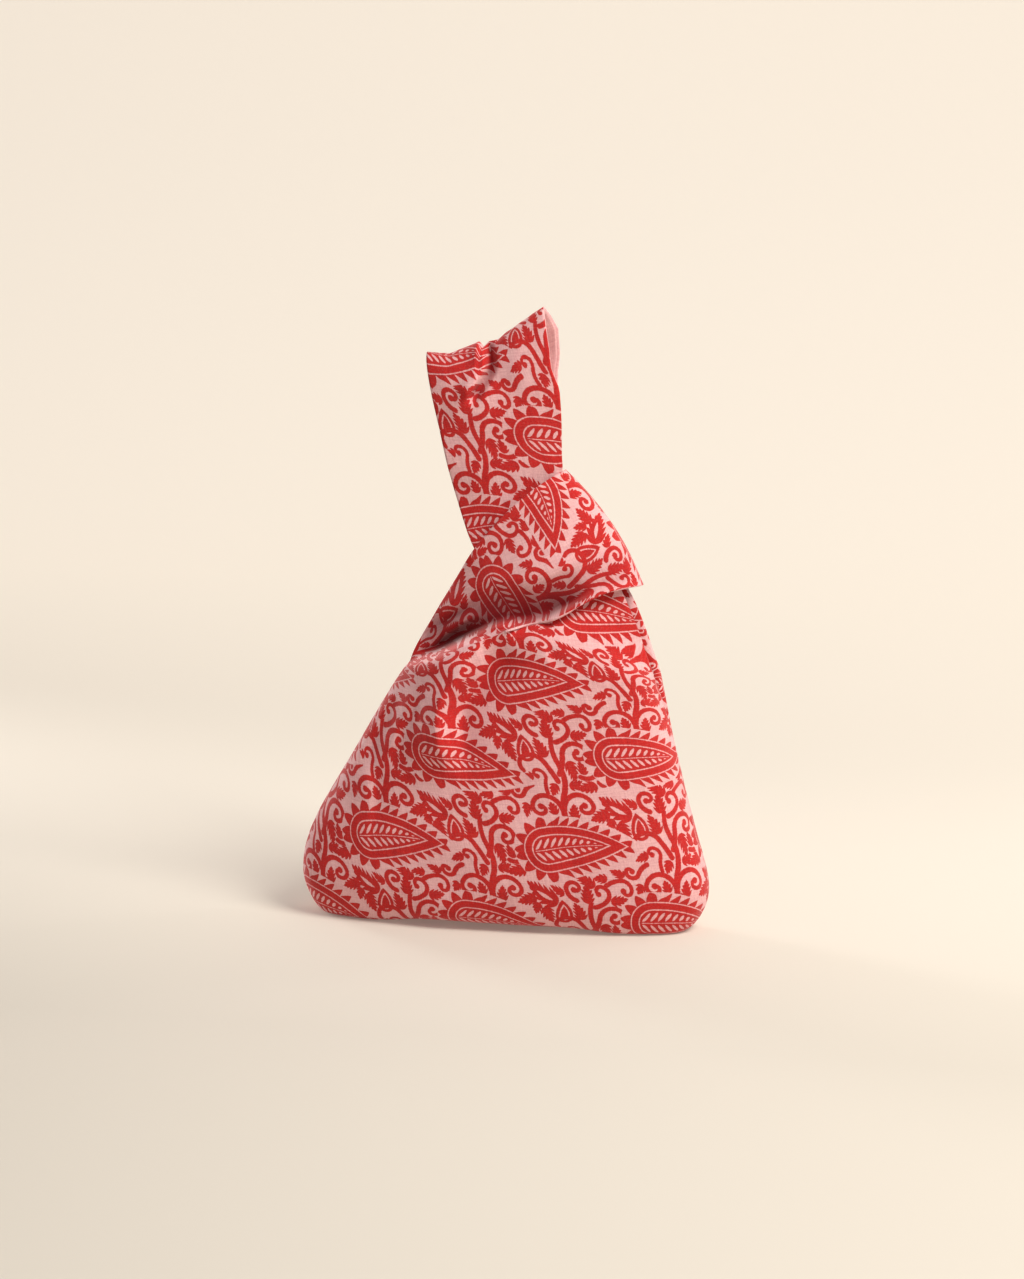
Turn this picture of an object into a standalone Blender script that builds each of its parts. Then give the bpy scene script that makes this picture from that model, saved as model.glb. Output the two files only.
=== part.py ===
"""Knot bag of lined printed cotton, standing: a front and a back panel, each cut in one with its half
of a short loop (left) and a long loop (right), seamed round the edge. The long loop runs up through
the short one. The front faces -Y, and the origin is on the ground under the middle of the bag."""

import bpy
from mathutils import Vector

MM = 0.001
CLOTH = 1.6  # a panel with its lining
LINING = 1.0
SEAM = 0.15  # each panel stops this far short of the plane of the seam
BODY_SPANS, SHORT_SPANS, LONG_SPANS = 14, 6, 7  # the one span left over is the bottom of the neck

# Rows of the body from the bottom seam to the neck: left seam, middle, right seam.
#       left x    z   mid y   mid z  right x  y      z
BODY = [
    (-98.0, 1.0, 0.0, 4.0, 99.0, 0.0, 0.5),
    (-105.0, 2.5, -18.0, 2.5, 106.0, 0.0, 1.5),
    (-111.0, 7.0, -27.5, 3.5, 111.5, 0.0, 5.0),
    (-117.5, 14.0, -33.5, 9.0, 117.0, 0.0, 12.0),
    (-120.7, 27.0, -36.5, 22.0, 120.6, 0.0, 25.0),
    (-115.5, 49.0, -38.0, 42.0, 114.4, 0.0, 46.5),
    (-103.5, 71.0, -37.5, 64.0, 107.0, 0.0, 72.0),
    (-89.0, 94.0, -36.0, 87.0, 101.5, 0.0, 93.0),
    (-77.0, 115.0, -34.5, 108.0, 96.5, -1.0, 112.0),
    (-66.0, 133.0, -33.0, 128.0, 92.5, -3.5, 128.0),
    (-59.0, 143.5, -31.0, 146.0, 88.5, -6.5, 141.0),
    (-56.0, 146.6, -29.5, 159.0, 86.8, -7.5, 146.5),
]
# Rows of the short loop from its root to its end: outer edge, middle, inner edge.
SHORT = [
    (-54.1, -1.0, 148.3, -26.0, -18.0, 158.5, 2.0, -27.5, 172.0),
    (-53.0, -2.0, 152.5, -23.0, -13.0, 165.5, 20.0, -30.5, 176.5),
    (-49.5, -3.0, 160.0, -16.0, -20.5, 172.5, 32.5, -29.0, 178.5),
    (-37.0, -6.0, 180.0, 1.0, -25.0, 182.0, 47.0, -25.0, 186.5),
    (-25.2, -9.0, 198.3, 15.0, -26.0, 191.0, 58.0, -22.0, 192.0),
    (-13.9, -12.5, 215.1, 27.0, -25.0, 202.0, 66.0, -18.5, 195.5),
    (0.6, -14.0, 230.3, 39.0, -22.0, 212.0, 72.0, -14.5, 196.7),
    (16.5, -13.5, 243.5, 50.0, -17.0, 221.5, 75.9, -10.0, 196.6),
    (35.5, -8.0, 255.5, 60.0, -9.0, 228.5, 78.6, -5.0, 196.3),
    (40.0, 0.0, 257.5, 62.5, 0.0, 230.0, 79.4, 0.0, 195.9),
]
# Rows of the long loop from its root to its top: inner edge, middle, outer edge.
LONG = [
    (16.5, -24.5, 165.0, 52.0, -25.0, 163.0, 85.3, -8.0, 151.0),
    (7.0, -20.0, 178.5, 48.0, -21.0, 172.0, 80.8, -9.0, 163.7),
    (-1.0, -14.5, 190.0, 38.0, -15.0, 187.0, 75.7, -8.0, 178.8),
    (-7.0, -11.0, 201.0, 30.0, -11.5, 202.0, 67.7, -6.0, 197.0),
    (-16.5, -9.0, 216.6, 20.0, -9.5, 217.0, 55.5, -4.5, 216.0),
    (-22.0, -8.5, 232.0, 10.5, -9.5, 236.0, 41.5, -3.8, 236.5),
    (-27.5, -8.5, 250.0, 3.0, -10.0, 256.0, 30.5, -4.5, 257.0),
    (-33.5, -9.5, 275.0, 0.5, -12.0, 282.0, 32.8, -8.0, 289.0),
    (-39.5, -10.5, 304.0, -5.0, -13.5, 308.0, 30.0, -11.0, 317.0),
    (-43.0, -7.0, 319.0, -8.5, -9.5, 322.5, 27.0, -8.0, 340.0),
    (-44.0, 0.0, 326.0, -10.0, 0.0, 331.0, 25.0, 0.0, 353.0),
]
# Soft folds: from (x, z), to (x, z), half width, height outwards.
FRONT_BODY_FOLDS = [
    (5.0, 168.0, -22.0, 110.0, 9.0, -8.0),
    (-12.0, 164.0, -38.0, 110.0, 9.0, 3.0),
    (-78.0, 112.0, -90.0, 72.0, 8.0, 2.5),
    (-50.0, 142.0, -66.0, 104.0, 8.0, -2.5),
]
FRONT_LONG_FOLDS = [
    (-13.0, 345.0, 4.0, 290.0, 6.0, -4.0),
    (-30.0, 328.0, -24.0, 298.0, 8.0, 2.0),
]
BACK_BODY_FOLDS = [
    (5.0, 168.0, -10.0, 124.0, 9.0, -6.5),
    (0.0, 142.0, 22.0, 82.0, 12.0, -4.0),
    (-60.0, 130.0, -72.0, 86.0, 10.0, -2.5),
]
BACK_LONG_FOLDS = [
    (-20.0, 335.0, -6.0, 285.0, 8.0, -2.0),
]


def body_row(left_x, left_z, mid_y, mid_z, right_x, right_y, right_z):
    """Points across the body on a half oval from seam to seam."""
    row = []
    for i in range(BODY_SPANS + 1):
        across = i / BODY_SPANS
        side = 2 * across - 1
        spread = (1 + side * (1.5 - 0.5 * side * side)) / 2  # closer together near the seams
        round_ = (1 - (2 * spread - 1) ** 2) ** 0.5 if 0 < i < BODY_SPANS else 0.0
        x = left_x + (right_x - left_x) * spread
        y = right_y * spread**3 + (mid_y - right_y / 8) * round_**0.75
        z = left_z + (right_z - left_z) * spread + (mid_z - (left_z + right_z) / 2) * round_**1.5
        row.append((x, y, z))
    return row


def strap_row(values, spans):
    """Points on the curve through the two edges and the middle of a strap."""
    first, middle, last = values[0:3], values[3:6], values[6:9]
    row = []
    for i in range(spans + 1):
        t = i / spans
        parts = ((1 - t) * (1 - 2 * t), 4 * t * (1 - t), t * (2 * t - 1))
        point = [sum(w * p[k] for w, p in zip(parts, (first, middle, last))) for k in range(3)]
        row.append(tuple(point))
    return row


def folded(point, folds):
    """The point moved in or out by every fold near it."""
    x, y, z = point
    for x0, z0, x1, z1, width, height in folds:
        along = ((x - x0) * (x1 - x0) + (z - z0) * (z1 - z0)) / ((x1 - x0) ** 2 + (z1 - z0) ** 2)
        off = ((x - x0) * (z1 - z0) - (z - z0) * (x1 - x0)) / ((x1 - x0) ** 2 + (z1 - z0) ** 2) ** 0.5
        if 0 < along < 1 and abs(off) < 2 * width:
            y -= 0.0 if y == 0 else height * (4 * along * (1 - along)) ** 0.6 * (1 - (off / (2 * width)) ** 2) ** 3
    return x, y, z


def footed(row):
    """Sets both bottom corners of the row down on the ground."""
    for i in (1, 2, 3, 4, BODY_SPANS - 4, BODY_SPANS - 3, BODY_SPANS - 2, BODY_SPANS - 1):
        row[i] = (row[i][0], row[i][1], 0.0)


def panel_cage(body_folds, long_folds):
    """The rows of the body, of the short strap and of the long strap, as points and faces."""
    body = [body_row(*values) for values in BODY]
    for row in body[:3]:
        footed(row)
    short = [strap_row(values, SHORT_SPANS) for values in SHORT]
    long_ = [strap_row(values, LONG_SPANS) for values in LONG]
    body.append(short[0] + long_[0])
    points, faces = [], []

    def add(rows, folds, start):
        index = start
        for row in rows:
            points.extend(folded(point, folds) for point in row)
            here = list(range(len(points) - len(row), len(points)))
            if index:
                for i in range(len(row) - 1):
                    faces.append((index[i], index[i + 1], here[i + 1], here[i]))
            index = here
        return index

    neck = add(body, body_folds, None)
    add(short[1:], [], neck[: SHORT_SPANS + 1])
    add(long_[1:], long_folds, neck[SHORT_SPANS + 1 :])
    # One ring of the other panel, so that the cloth comes square to the seam, where it is then cut.
    opposite = {}
    for face in list(faces):
        if not any(points[i][1] == 0 for i in face):
            continue
        for i in face:
            if i not in opposite:
                x, y, z = points[i]
                opposite[i] = i if y == 0 else len(points)
                if y != 0:
                    points.append((x, -y, z))
        faces.append(tuple(opposite[i] for i in reversed(face)))
    return points, faces


def lining_cage():
    """The strip inside the long loop, from above the knot in front, over the top and down behind."""
    plain_rows = [strap_row(values, LONG_SPANS) for values in LONG[5:]]
    front = [[folded(point, FRONT_LONG_FOLDS) for point in row] for row in plain_rows]
    back = [[folded(point, BACK_LONG_FOLDS) for point in row] for row in plain_rows[:-1]]
    rows = front + [[(x, -y, z) for x, y, z in row] for row in reversed(back)]
    inner = []
    for before, row, after in zip(rows, rows[1:], rows[2:]):
        moved = []
        for i, point in enumerate(row):
            across = Vector(row[min(i + 1, LONG_SPANS)]) - Vector(row[max(i - 1, 0)])
            normal = across.cross(Vector(after[i]) - Vector(before[i])).normalized()
            edge = across.normalized() * (1.5 if i == 0 else -1.5 if i == LONG_SPANS else 0.0)
            moved.append(Vector(point) - normal * (CLOTH + 1.1) + edge)
        inner.append(moved)
    return inner


def clear_scene():
    for thing in list(bpy.data.objects):
        bpy.data.objects.remove(thing, do_unlink=True)


def material(name, colour):
    made = bpy.data.materials.new(name)
    made.use_nodes = True
    shader = made.node_tree.nodes["Principled BSDF"]
    shader.inputs["Base Color"].default_value = (*colour, 1.0)
    shader.inputs["Roughness"].default_value = 0.85
    return made


def cloth_object(name, points, faces, thickness, made_of):
    mesh = bpy.data.meshes.new(name)
    mesh.from_pydata([tuple(MM * value for value in point) for point in points], [], faces)
    mesh.materials.append(made_of)
    mesh.polygons.foreach_set("use_smooth", [True] * len(mesh.polygons))
    thing = bpy.data.objects.new(name, mesh)
    collection.objects.link(thing)
    smooth = thing.modifiers.new("Rounded", "SUBSURF")
    smooth.levels = smooth.render_levels = 1
    thick = thing.modifiers.new("Cloth", "SOLIDIFY")
    thick.thickness = thickness * MM
    thick.offset = -1.0
    return thing


def cut_at_seam(panel, side):
    """Cuts the panel a little short of the plane of the seam, with a box on its far side."""
    low, high = (-SEAM, 60.0) if side < 0 else (-60.0, SEAM)
    corners = [(x, y, z) for x in (-200.0, 200.0) for y in (low, high) for z in (-50.0, 400.0)]
    mesh = bpy.data.meshes.new("far_side")
    sides = [(0, 1, 3, 2), (4, 6, 7, 5), (0, 4, 5, 1), (2, 3, 7, 6), (0, 2, 6, 4), (1, 5, 7, 3)]
    mesh.from_pydata([tuple(MM * value for value in corner) for corner in corners], [], sides)
    box = bpy.data.objects.new("far_side_of_" + panel.name, mesh)
    collection.objects.link(box)
    box.hide_render = True
    box.display_type = "WIRE"
    cut = panel.modifiers.new("Seam", "BOOLEAN")
    cut.operation = "DIFFERENCE"
    cut.solver = "EXACT"
    cut.object = box


clear_scene()
collection = bpy.data.collections.new("knot_bag")
bpy.context.scene.collection.children.link(collection)
printed = material("printed_cotton", (0.60, 0.07, 0.07))
plain = material("plain_lining", (0.86, 0.50, 0.50))

points, faces = panel_cage(FRONT_BODY_FOLDS, FRONT_LONG_FOLDS)
cut_at_seam(cloth_object("front_panel", points, faces, CLOTH, printed), -1)

points, faces = panel_cage(BACK_BODY_FOLDS, BACK_LONG_FOLDS)
behind = [(x, -y, z) for x, y, z in points]
cut_at_seam(cloth_object("back_panel", behind, [face[::-1] for face in faces], CLOTH, printed), 1)

rows = lining_cage()
points = [point for row in rows for point in row]
width = LONG_SPANS + 1
faces = [
    (r * width + i, r * width + i + 1, (r + 1) * width + i + 1, (r + 1) * width + i)
    for r in range(len(rows) - 1)
    for i in range(LONG_SPANS)
]
cloth_object("handle_lining", points, faces, LINING, plain)
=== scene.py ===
"""A knot bag of lined printed cotton, standing on a table: its long loop runs up through its short one."""

import math

import bmesh
import bpy
import numpy as np
from mathutils import Matrix, Vector, noise


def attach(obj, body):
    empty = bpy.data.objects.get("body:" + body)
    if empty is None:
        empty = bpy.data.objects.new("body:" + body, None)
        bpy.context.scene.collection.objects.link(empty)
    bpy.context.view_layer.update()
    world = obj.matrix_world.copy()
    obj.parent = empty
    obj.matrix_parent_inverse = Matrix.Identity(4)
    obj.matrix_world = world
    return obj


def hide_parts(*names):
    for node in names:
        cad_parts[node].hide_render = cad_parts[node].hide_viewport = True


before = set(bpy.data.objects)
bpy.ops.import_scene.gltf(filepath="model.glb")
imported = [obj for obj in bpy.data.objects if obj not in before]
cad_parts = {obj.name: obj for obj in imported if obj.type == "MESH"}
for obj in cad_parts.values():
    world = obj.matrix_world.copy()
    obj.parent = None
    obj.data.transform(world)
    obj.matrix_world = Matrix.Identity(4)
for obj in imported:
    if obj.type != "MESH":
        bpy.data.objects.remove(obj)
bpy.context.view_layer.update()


# ---- Front panel -----------------------------------------------------------------------------
# Printed cotton cut in one with half of the short and half of the long loop, and a plain lining sewn
# in behind it. It is seamed to the back panel down both sides and along the base; the mouth and the
# sides of the loops are hemmed. The long loop is drawn up through the short one, which closes the bag.

MM = 0.001  # sizes are in millimetres up to the meshes
BODY_SPANS, SHORT_SPANS, LONG_SPANS = 14, 6, 7  # faces across the body and across each loop
BODY_MIDDLE, SHORT_MIDDLE, LONG_MIDDLE = BODY_SPANS // 2, SHORT_SPANS // 2, LONG_SPANS // 2

# Rows of the body from the base's seam to the neck: x and z at the left seam, y and z in the middle,
# and x, y and z at the right seam.
BODY = [
    (-98.0, 1.0, 0.0, 4.0, 99.0, 0.0, 0.5),
    (-105.0, 2.5, -18.0, 2.5, 106.0, 0.0, 1.5),
    (-111.0, 7.0, -27.5, 3.5, 111.5, 0.0, 5.0),
    (-117.5, 14.0, -33.5, 9.0, 117.0, 0.0, 12.0),
    (-120.7, 27.0, -36.5, 22.0, 120.6, 0.0, 25.0),
    (-115.5, 49.0, -38.0, 42.0, 114.4, 0.0, 46.5),
    (-103.5, 71.0, -37.5, 64.0, 107.0, 0.0, 72.0),
    (-89.0, 94.0, -36.0, 87.0, 101.5, 0.0, 93.0),
    (-77.0, 115.0, -34.5, 108.0, 96.5, -1.0, 112.0),
    (-66.0, 133.0, -33.0, 128.0, 92.5, -3.5, 128.0),
    (-59.0, 143.5, -31.0, 146.0, 88.5, -6.5, 141.0),
    (-56.0, 146.6, -29.5, 159.0, 86.8, -7.5, 146.5),
]
# Rows of the short loop from its root to its end: x, y and z at its outer edge, middle and inner edge.
SHORT = [
    (-54.1, -1.0, 148.3, -26.0, -18.0, 158.5, 2.0, -27.5, 172.0),
    (-53.0, -2.0, 152.5, -23.0, -13.0, 165.5, 20.0, -25.5, 176.5),
    (-49.5, -3.0, 160.0, -16.0, -20.5, 172.5, 32.5, -24.0, 178.5),
    (-37.0, -6.0, 180.0, 1.0, -25.0, 182.0, 47.0, -20.5, 186.5),
    (-25.2, -9.0, 198.3, 15.0, -26.0, 191.0, 58.0, -18.0, 192.0),
    (-14.4, -13.5, 215.8, 27.0, -25.0, 202.0, 66.0, -15.5, 195.5),
    (-0.6, -15.5, 231.5, 39.0, -22.0, 212.0, 72.0, -13.0, 196.7),
    (14.2, -15.0, 246.0, 50.0, -17.0, 221.5, 75.9, -10.0, 196.6),
    (31.8, -9.0, 258.4, 60.0, -9.0, 228.5, 78.6, -5.0, 196.3),
    (36.8, 0.0, 260.0, 62.5, 0.0, 230.0, 79.4, 0.0, 195.9),
]
# Rows of the long loop from its root to its top: x, y and z at its inner edge, middle and outer edge.
LONG = [
    (12.5, -26.5, 171.5, 52.0, -25.0, 163.0, 85.3, -8.0, 151.0),
    (7.0, -13.0, 180.5, 48.0, -20.5, 172.0, 80.8, -8.0, 163.7),
    (-1.0, -10.0, 190.0, 38.0, -12.0, 187.0, 75.7, -8.0, 178.8),
    (-7.0, -9.0, 201.0, 30.0, -10.0, 202.0, 67.7, -6.0, 197.0),
    (-16.5, -9.0, 216.6, 20.0, -9.5, 217.0, 55.5, -4.5, 216.0),
    (-22.0, -8.5, 232.0, 10.5, -9.5, 236.0, 41.5, -3.8, 236.5),
    (-27.5, -8.5, 250.0, 3.0, -10.0, 256.0, 30.5, -4.5, 257.0),
    (-33.5, -9.5, 275.0, 0.5, -12.0, 282.0, 32.8, -8.0, 289.0),
    (-39.5, -10.5, 304.0, -5.0, -13.5, 308.0, 30.0, -11.0, 317.0),
    (-43.0, -7.0, 319.0, -8.5, -9.5, 322.5, 27.0, -8.0, 340.0),
    (-44.0, 0.0, 326.0, -10.0, 0.0, 331.0, 25.0, 0.0, 353.0),
]
# Wide folds: x and z at one end, x and z at the other, half width, height outwards.
FRONT_BODY_FOLDS = [
    (5.0, 168.0, -22.0, 110.0, 9.0, -8.0),
    (-12.0, 164.0, -38.0, 110.0, 9.0, 3.0),
    (-78.0, 112.0, -90.0, 72.0, 8.0, 2.5),
    (-50.0, 142.0, -66.0, 104.0, 8.0, -2.5),
]
FRONT_LONG_FOLDS = [(-13.0, 345.0, 4.0, 290.0, 6.0, -4.0), (-30.0, 328.0, -24.0, 298.0, 8.0, 2.0)]
OVAL_IN_PLAN, OVAL_IN_HEIGHT = 0.75, 1.5  # powers of the half oval; below 1 is fuller, above 1 more pointed


def body_row(left_x, left_z, mid_y, mid_z, right_x, right_y, right_z):
    """Points across the body on a half oval from seam to seam."""
    row = []
    for i in range(BODY_SPANS + 1):
        side = 2 * i / BODY_SPANS - 1
        spread = (1 + side * (1.5 - 0.5 * side * side)) / 2  # closer together near the seams
        swell = (1 - (2 * spread - 1) ** 2) ** 0.5 if 0 < i < BODY_SPANS else 0.0
        x = left_x + (right_x - left_x) * spread
        y = right_y * spread**3 + (mid_y - right_y / 8) * swell**OVAL_IN_PLAN
        between = left_z + (right_z - left_z) * spread
        z = between + (mid_z - (left_z + right_z) / 2) * swell**OVAL_IN_HEIGHT
        row.append(Vector((x, y, z)))
    return row


def strap_row(values, spans):
    """Points on the curve through the two edges and the middle of a strap."""
    edge, middle, other = (Vector(values[i : i + 3]) for i in (0, 3, 6))
    steps = [i / spans for i in range(spans + 1)]
    return [edge * (1 - t) * (1 - 2 * t) + middle * 4 * t * (1 - t) + other * t * (2 * t - 1) for t in steps]


def folded(point, folds):
    """The point moved in or out by every wide fold near it; a point on the seam stays."""
    x, y, z = point
    for x0, z0, x1, z1, half_width, height in folds:
        span = Vector((x1 - x0, z1 - z0))
        along = (Vector((x - x0, z - z0)) @ span) / span.length_squared
        off = ((x - x0) * span.y - (z - z0) * span.x) / span.length
        reach = 2 * half_width
        if 0 < along < 1 and abs(off) < reach and y != 0:
            y -= height * (4 * along * (1 - along)) ** 0.6 * (1 - (off / reach) ** 2) ** 3
    return Vector((x, y, z))


def laid_flat(rows, middle, start=None):
    """Where the points of the rows lie once the cloth is smoothed out flat, each row at its full length."""
    flat, place = [], None
    for k, row in enumerate(rows):
        if place is None:
            place = start or Vector((row[middle].x, row[middle].z))
        else:
            step = row[middle] - rows[k - 1][middle]
            place = place + Vector((step.x, step.z)).normalized() * step.length
        across = Vector((row[-1].x - row[0].x, row[-1].z - row[0].z)).normalized()
        run = [0.0]
        for a, b in zip(row, row[1:]):
            run.append(run[-1] + (b - a).length)
        flat.append([place + across * (distance - run[middle]) for distance in run])
    return flat


BASE_ROWS, CORNER_SPANS = 3, 4  # the rows that rest on the table, and how far in from each corner they do
MOUTH_ROW = 8  # the row of the body at which the right seam ends and the mouth begins
MOUTH_ROLL = (0.15, 0.4, 0.65, 0.75, 0.8, 1.0, 1.0, 0.8, 0.3)  # share of the roll, from the mouth up
FULL_FOLD = 0.2  # from this share on the cloth beside the hem is folded over; below it, only slightly
HEM_IN, HEM_Y = 3.0, -0.6  # where the roll takes the hem, and then the fold beside it
FOLD_OUT, SLIGHT_OUT, FOLD_Y = 5.5, 0.3, -3.2
THIRD_OUT, THIRD_IN = 3.0, 1.0  # how far the cloth after the fold is drawn along


def panel_rows(body_folds, long_folds, side):
    """The rows of the body, the short loop and the long loop."""
    body = [body_row(*values) for values in BODY]
    for row in body[:BASE_ROWS]:
        for i in (*range(1, 1 + CORNER_SPANS), *range(BODY_SPANS - CORNER_SPANS, BODY_SPANS)):
            row[i].z = 0.0
    short_loop = [strap_row(values, SHORT_SPANS) for values in SHORT]
    long_loop = [strap_row(values, LONG_SPANS) for values in LONG]
    body.append(short_loop[0] + long_loop[0])
    if side < 0:  # the back's edge at the mouth rolls forwards and out, its hem tucked behind the front's
        for row, roll in zip(body[MOUTH_ROW:] + long_loop[1:5], MOUTH_ROLL):
            hem, next_to, third = row[-1], row[-2], row[-3]
            third.x += THIRD_OUT * roll
            third.y += THIRD_IN * roll
            next_to.x = hem.x + (FOLD_OUT * roll if roll > FULL_FOLD else SLIGHT_OUT)
            next_to.y = FOLD_Y
            hem.x -= HEM_IN * roll
            hem.y = HEM_Y
    body = [[folded(point, body_folds) for point in row] for row in body]
    short_loop[0] = body[-1][: SHORT_SPANS + 1]
    long_loop = [[folded(point, long_folds) for point in row] for row in long_loop]
    long_loop[0] = body[-1][SHORT_SPANS + 1 :]
    return body, short_loop, long_loop


LEAN, LEAN_FROM = 0.27, 20.0  # how far the print leans to the right for its height, and where that starts
LOOP_PIVOT, LOOP_TURN = (10.0, 185.0), 65.0  # the short loop is turned round this place as it is drawn tight
LOOP_SHIFT = (52.0, 47.0)  # where that place lies in the print


def on_body(place):
    """A place on the laid-out cloth as a place in the print, on the body and the long loop."""
    lean = LEAN * max(place.y - LEAN_FROM, 0.0)
    return Vector((place.x + lean, place.y))


def on_short_loop(place):
    """The same on the short loop."""
    turned_by = Vector((place.x, place.y)) - Vector(LOOP_PIVOT)
    turned_by.rotate(Matrix.Rotation(math.radians(LOOP_TURN), 2))
    return turned_by + Vector(LOOP_SHIFT)


ON_SHORT, ON_BODY, ON_LONG = -1.0, 0.0, 1.0  # values of the mesh's "loop" layer


def panel_mesh(name, body_folds, long_folds, side):
    """The panel's sheet, with the print's place on the cloth in millimetres as its UV map."""
    body, short_loop, long_loop = panel_rows(body_folds, long_folds, side)
    long_root = SHORT_SPANS + 1  # the body's last row runs on from the short loop's root to the long one's
    body_flat = laid_flat(body, BODY_MIDDLE)
    short_flat = laid_flat(short_loop, SHORT_MIDDLE)
    long_flat = laid_flat(long_loop, LONG_MIDDLE, body_flat[-1][long_root + LONG_MIDDLE])
    long_flat[0] = body_flat[-1][long_root:]
    sheets = [
        (body, [[on_body(place) for place in row] for row in body_flat], ON_BODY),
        (short_loop, [[on_short_loop(place) for place in row] for row in short_flat], ON_SHORT),
        (long_loop, [[on_body(place) for place in row] for row in long_flat], ON_LONG),
    ]
    cloth = bmesh.new()
    places = cloth.loops.layers.uv.new("cloth")
    loops = cloth.verts.layers.float.new("loop")
    made = {}

    def corner(point):
        """The vertex at the point, which neighbouring faces share."""
        key = tuple(round(value, 3) for value in point)
        if key not in made:
            made[key] = cloth.verts.new((point.x * MM, point.y * MM * side, point.z * MM))
        return made[key]

    def add_face(points, uvs):
        verts = [corner(point) for point in points]
        face = cloth.faces.new(verts if side > 0 else verts[::-1])
        for loop, uv in zip(face.loops, uvs if side > 0 else uvs[::-1]):
            loop[places].uv = uv

    for rows, flat, which in sheets:
        for k in range(len(rows) - 1):
            for i in range(len(rows[k]) - 1):
                points = [rows[k][i], rows[k][i + 1], rows[k + 1][i + 1], rows[k + 1][i]]
                uvs = [flat[k][i], flat[k][i + 1], flat[k + 1][i + 1], flat[k + 1][i]]
                add_face(points, uvs)
                if any(point.y == 0 for point in points):  # runs on over the seam, to be cut off there
                    over = [Vector((point.x, -point.y, point.z)) for point in points]
                    add_face(over[::-1], uvs[::-1])
            for point in rows[k + 1]:
                corner(point)[loops] = which
    mesh = bpy.data.meshes.new(name)
    cloth.to_mesh(mesh)
    cloth.free()
    return mesh


def smoothed(name, mesh, levels):
    """An object of the mesh rounded by subdivision, with that applied."""
    thing = bpy.data.objects.new(name, mesh)
    bpy.context.scene.collection.objects.link(thing)
    round_off = thing.modifiers.new("Rounded", "SUBSURF")
    round_off.levels = round_off.render_levels = levels
    drawn = thing.evaluated_get(bpy.context.evaluated_depsgraph_get())
    fine = bpy.data.meshes.new_from_object(drawn)
    thing.modifiers.clear()
    thing.data = fine
    thing.data.name = name
    fine.polygons.foreach_set("use_smooth", [True] * len(fine.polygons))
    return thing


def smooth_path(points, steps=8):
    """More points on the smooth curve through a few."""
    ends = [2 * points[0] - points[1], *points, 2 * points[-1] - points[-2]]
    path = []
    for a, b, c, d in zip(ends, ends[1:], ends[2:], ends[3:]):
        for k in range(steps):
            t = k / steps
            curve = 2 * b + (c - a) * t + (2 * a - 5 * b + 4 * c - d) * t**2 + (3 * b - a - 3 * c + d) * t**3
            path.append(0.5 * curve)
    return np.array([*path, points[-1]])


def beside(places, path):
    """Where along the path, from 0 to 1, each place is nearest to it, and how far off to the left it lies."""
    best, along, off = np.full(len(places), 1e9), np.zeros(len(places)), np.zeros(len(places))
    runs = np.linalg.norm(np.diff(path, axis=0), axis=1)
    before = np.concatenate([[0.0], np.cumsum(runs)])
    for k, run in enumerate(runs):
        heading = (path[k + 1] - path[k]) / run
        gap = places - path[k]
        ahead = gap @ heading
        near = np.clip(ahead, 0, run)
        away = np.hypot(*(gap - near[:, None] * heading).T)
        closer = away < best
        left = heading[0] * gap[:, 1] - heading[1] * gap[:, 0]
        best = np.where(closer, away, best)
        along = np.where(closer, (before[k] + near) / before[-1], along)
        off = np.where(closer, np.copysign(away, left), off)
    return along, off


def bump(distance, reach):
    """1 on the line, falling smoothly to 0 at the reach."""
    return np.where(np.abs(distance) < reach, (1 - (distance / reach) ** 2) ** 2, 0.0)


def pleat(off, rise_reach, rise, steep, fall_reach, fall, sharp):
    """A fold's section: a slow climb on the left to a crest, a steep drop on the right, a slow way back."""
    beyond = np.maximum(-off, 0.0)
    climb = np.clip(1 - np.abs(off) / rise_reach, 0, 1) ** 2 if sharp else bump(off, rise_reach)
    crest_end = steep * 1.3
    crest = rise * np.where(off > 0, climb, bump(off, crest_end))
    drop = np.clip(beyond / steep, 0, 1)
    trough = fall * drop * drop * (3 - 2 * drop) * bump(np.maximum(beyond - steep, 0.0), fall_reach)
    return crest - trough


def refined(thing, paths, reach):
    """Halves the faces' edges along the creases, so that the cloth can turn sharply there."""
    cloth = bmesh.new()
    cloth.from_mesh(thing.data)
    places = np.array([(vert.co.x, vert.co.z) for vert in cloth.verts]) / MM
    near = np.zeros(len(places), bool)
    for path in paths:
        for spot in path[::3]:
            near |= np.hypot(*(places - spot).T) < reach
    cloth.verts.ensure_lookup_table()
    edges = [edge for edge in cloth.edges if all(near[vert.index] for vert in edge.verts)]
    bmesh.ops.subdivide_edges(cloth, edges=edges, cuts=1, use_grid_fill=True)
    cloth.to_mesh(thing.data)
    cloth.free()
    thing.data.polygons.foreach_set("use_smooth", [True] * len(thing.data.polygons))


HALF_SEAM = 0.15  # each panel ends this far from the seam's middle


def cut_at_seam(thing, side):
    """Takes away what reaches past the seam."""
    cloth = bmesh.new()
    cloth.from_mesh(thing.data)
    everything = cloth.verts[:] + cloth.edges[:] + cloth.faces[:]
    seam = (0, -HALF_SEAM * MM * side, 0)
    bmesh.ops.bisect_plane(cloth, geom=everything, plane_co=seam, plane_no=(0, side, 0), clear_outer=True)
    cloth.to_mesh(thing.data)
    cloth.free()


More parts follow.
